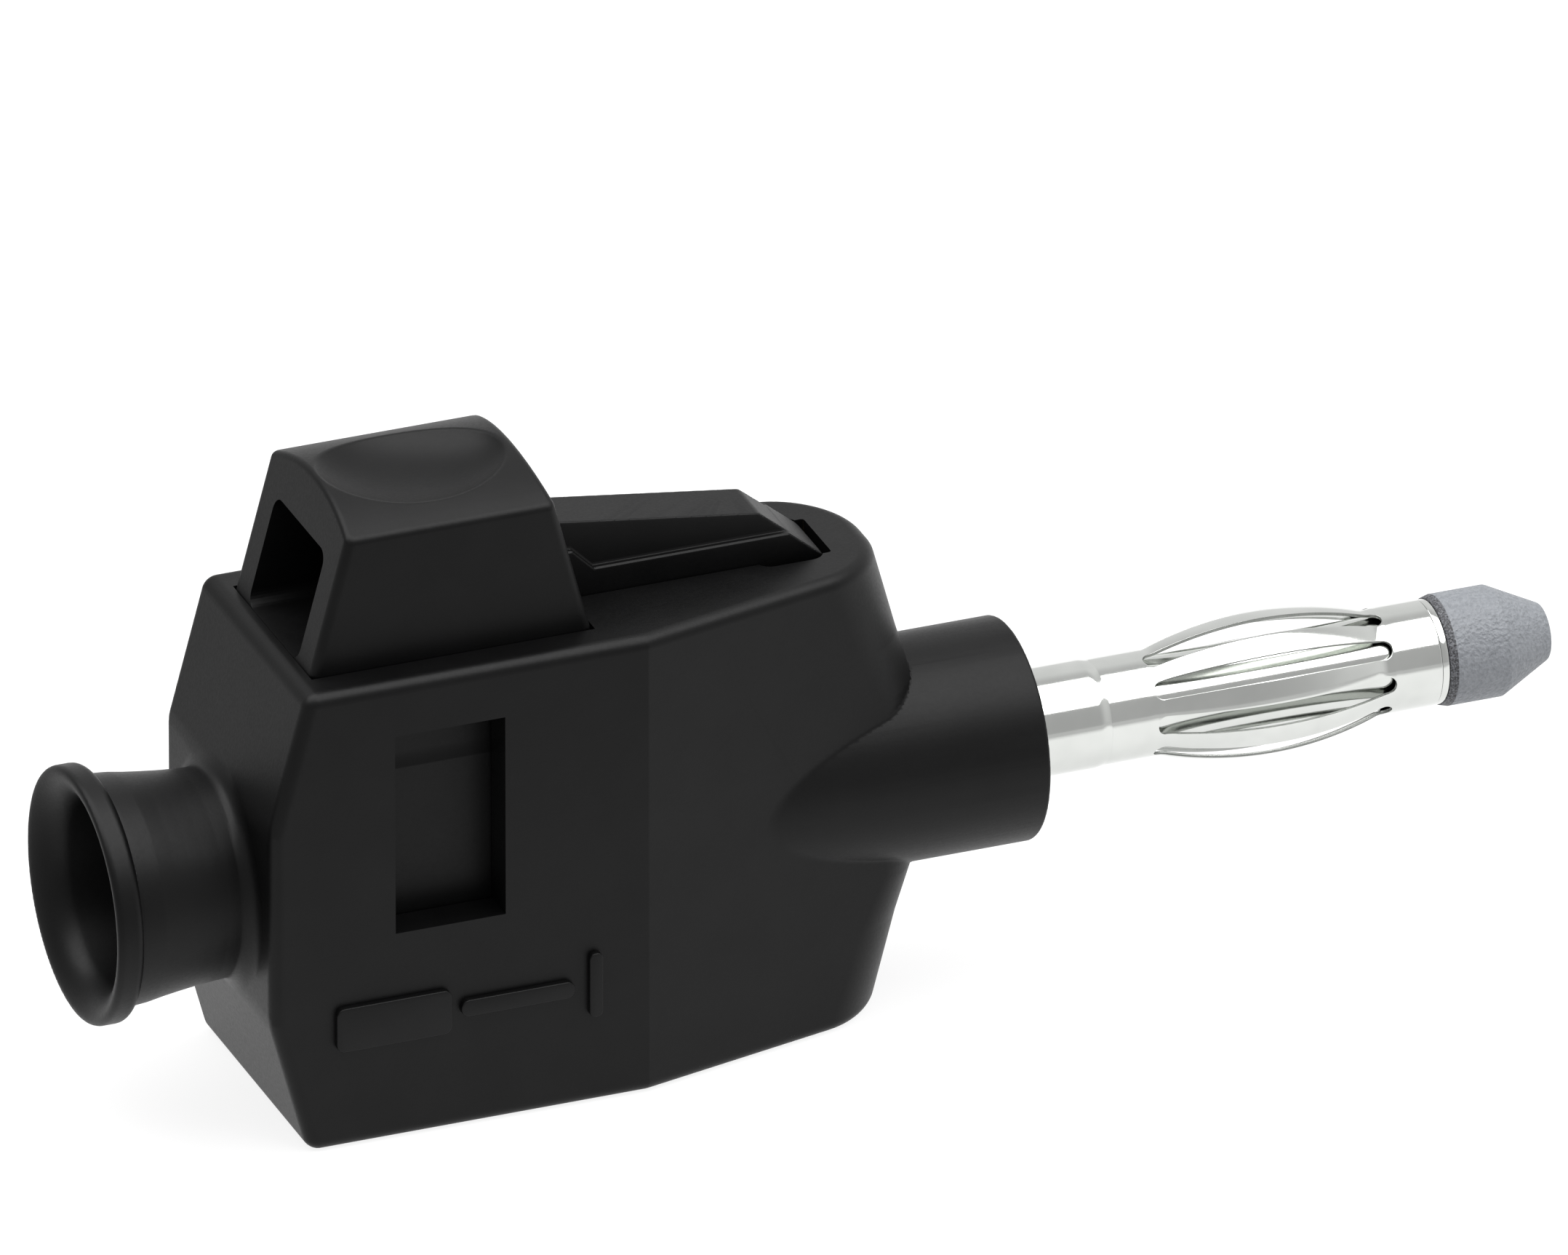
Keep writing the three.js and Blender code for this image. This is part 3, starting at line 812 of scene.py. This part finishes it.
BLACK = black_plastic()
GREY = grey_plastic()
NICKEL = metal("nickel", (0.700, 0.714, 0.692), (0.660, 0.674, 0.653), 0.09)
CUT_EDGE = metal("nickel_cut_edge", (0.40, 0.41, 0.395), (0.34, 0.35, 0.335), 0.3)
BRASS = metal("brass", (0.80, 0.62, 0.28), (0.70, 0.52, 0.22), 0.25)
TIN = metal("tinned_copper", (0.70, 0.69, 0.66), (0.60, 0.59, 0.56), 0.35)
STEEL = metal("spring_steel", (0.62, 0.62, 0.63), (0.54, 0.54, 0.55), 0.28)

add_piece(make_housing(), BLACK, "plug", "black_polyamide", "housing")
add_piece(make_marks(), BLACK, "plug", "black_polyamide")
add_piece(make_lever(), BLACK, "lever", "black_polyamide", "push_lever")
add_piece(make_pivot(), BRASS, "lever", "brass", "pivot_pin")
add_piece(make_pin(), NICKEL, "plug", "nickel", "plug_pin")
add_piece(make_cage(), NICKEL, "plug", "nickel", "lantern_cage")
add_piece(make_ring(), NICKEL, "plug", "nickel", "retaining_ring")
add_piece(make_tip(), GREY, "plug", "grey_polyamide", "insulating_tip")
for node, material in (("contact_frame", TIN), ("clamp_spring", STEEL)):
    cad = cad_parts[node]
    cad.data.materials.clear()
    cad.data.materials.append(material)


# ---- floor, light and camera ------------------------------------------------------------------------

VIEW_WIDTH = 0.05468
VIEW_CENTRE = (19.662, -3.587, 7.510)
VIEW_ANGLES = (-21.466, 27.19)      # azimuth and elevation

# A white tent: bright floor, an overhead softbox set askew, and walls that darken towards the front.
DARK_WALL = (-0.94, -0.33, 0.0)
WALL_LEVELS = (0.86, 0.50)          # radiance opposite the dark wall and from square to it on
CEILING_SHADE = 0.75
FLOOR_GLOW = (0.86, 0.31)           # the floor's own light near the object, and away from it
FLOOR_FRONT = (-0.024, -0.048)      # where the glow falls off towards the viewer
FLOOR_LEFT = (-0.029, -0.038)       # and towards the funnel's side
SOFTBOX_HEIGHT = 0.6
SOFTBOX_TURN = -35.0                # degrees about the vertical
SOFTBOX_SPAN = ((-1.1, 1.1), (-0.60, 0.46))     # per unit of height, in its own axes
SOFTBOX_RADIANCE = 3.6


def make_floor():
    mesh = bpy.data.meshes.new("floor")
    reach = 0.6
    corners = [(-reach, -reach, 0), (reach, -reach, 0), (reach, reach, 0), (-reach, reach, 0)]
    mesh.from_pydata(corners, [], [(0, 1, 2, 3)])
    floor = bpy.data.objects.new("floor", mesh)
    bpy.context.scene.collection.objects.link(floor)
    s = Shader("pale_floor")
    turn = (0, 0, -math.radians(VIEW_ANGLES[0]))
    turned = s.add("ShaderNodeMapping", {"Vector": s.place, "Rotation": turn}).outputs["Vector"]
    split = s.add("ShaderNodeSeparateXYZ", {"Vector": turned})
    front = s.remap(split.outputs["Y"], FLOOR_GLOW[1], FLOOR_GLOW[0], FLOOR_FRONT[1], FLOOR_FRONT[0])
    left = s.remap(split.outputs["X"], FLOOR_GLOW[1], FLOOR_GLOW[0], FLOOR_LEFT[1], FLOOR_LEFT[0])
    glow = s.add("ShaderNodeMath", {0: front, 1: left}, operation="MINIMUM").outputs["Value"]
    s.finish({
        "Base Color": (0.15, 0.15, 0.15, 1), "Roughness": 0.9,
        "Emission Color": (1, 1, 1, 1), "Emission Strength": glow,
    })
    mesh.materials.append(s.material)


def make_softbox():
    (u0, u1), (v0, v1) = SOFTBOX_SPAN
    turn = math.radians(SOFTBOX_TURN)
    u, v = (u0 + u1) / 2 * SOFTBOX_HEIGHT, (v0 + v1) / 2 * SOFTBOX_HEIGHT
    data = bpy.data.lights.new("softbox", "AREA")
    data.shape = "RECTANGLE"
    data.size = (u1 - u0) * SOFTBOX_HEIGHT
    data.size_y = (v1 - v0) * SOFTBOX_HEIGHT
    data.energy = SOFTBOX_RADIANCE * math.pi * data.size * data.size_y
    light = bpy.data.objects.new("softbox", data)
    light.location = (
        u * math.cos(turn) - v * math.sin(turn), u * math.sin(turn) + v * math.cos(turn), SOFTBOX_HEIGHT)
    light.rotation_euler = (0, 0, turn)
    bpy.context.scene.collection.objects.link(light)


def make_world():
    """Walls that are darker towards one side, under a ceiling a little darker than they are."""
    world = bpy.data.worlds.new("studio")
    world.use_nodes = True
    nodes, links = world.node_tree.nodes, world.node_tree.links
    direction = nodes.new("ShaderNodeTexCoord").outputs["Generated"]

    def level(towards, low, high, interpolation="SMOOTHSTEP"):
        facing = nodes.new("ShaderNodeVectorMath")
        facing.operation = "DOT_PRODUCT"
        links.new(direction, facing.inputs[0])
        facing.inputs[1].default_value = towards
        ramp = nodes.new("ShaderNodeMapRange")
        ramp.interpolation_type = interpolation
        links.new(facing.outputs["Value"], ramp.inputs["Value"])
        for key, value in zip(("From Min", "To Min", "From Max", "To Max"), (*low, *high)):
            ramp.inputs[key].default_value = value
        return ramp.outputs["Result"]

    walls = level(DARK_WALL, (-0.65, WALL_LEVELS[0]), (0.05, WALL_LEVELS[1]))
    ceiling = level((0, 0, 1), (0.65, 1.0), (0.9, CEILING_SHADE))
    both = nodes.new("ShaderNodeMath")
    both.operation = "MULTIPLY"
    links.new(walls, both.inputs[0])
    links.new(ceiling, both.inputs[1])
    background = nodes["Background"]
    background.inputs["Color"].default_value = (1, 1, 1, 1)
    links.new(both.outputs["Value"], background.inputs["Strength"])
    bpy.context.scene.world = world
    bpy.context.scene.view_settings.view_transform = "Standard"


def make_camera():
    """A long lens for almost no perspective. A much longer one puts turned views out of clip range."""
    lens = 1200.0
    sensor = 36.0
    azimuth, elevation = np.radians(VIEW_ANGLES)
    level = math.cos(elevation)
    back = Vector((math.sin(azimuth) * level, -math.cos(azimuth) * level, math.sin(elevation)))
    data = bpy.data.cameras.new("camera")
    data.lens = lens
    data.sensor_width = sensor
    distance = VIEW_WIDTH * lens / sensor
    data.clip_start = 0.1
    data.clip_end = 20.0
    camera = bpy.data.objects.new("camera", data)
    camera.location = Vector(to_row(VIEW_CENTRE)) + back * distance
    camera.rotation_euler = (-back).to_track_quat("-Z", "Y").to_euler()
    bpy.context.scene.collection.objects.link(camera)
    bpy.context.scene.camera = camera


make_floor()
make_world()
make_softbox()
make_camera()
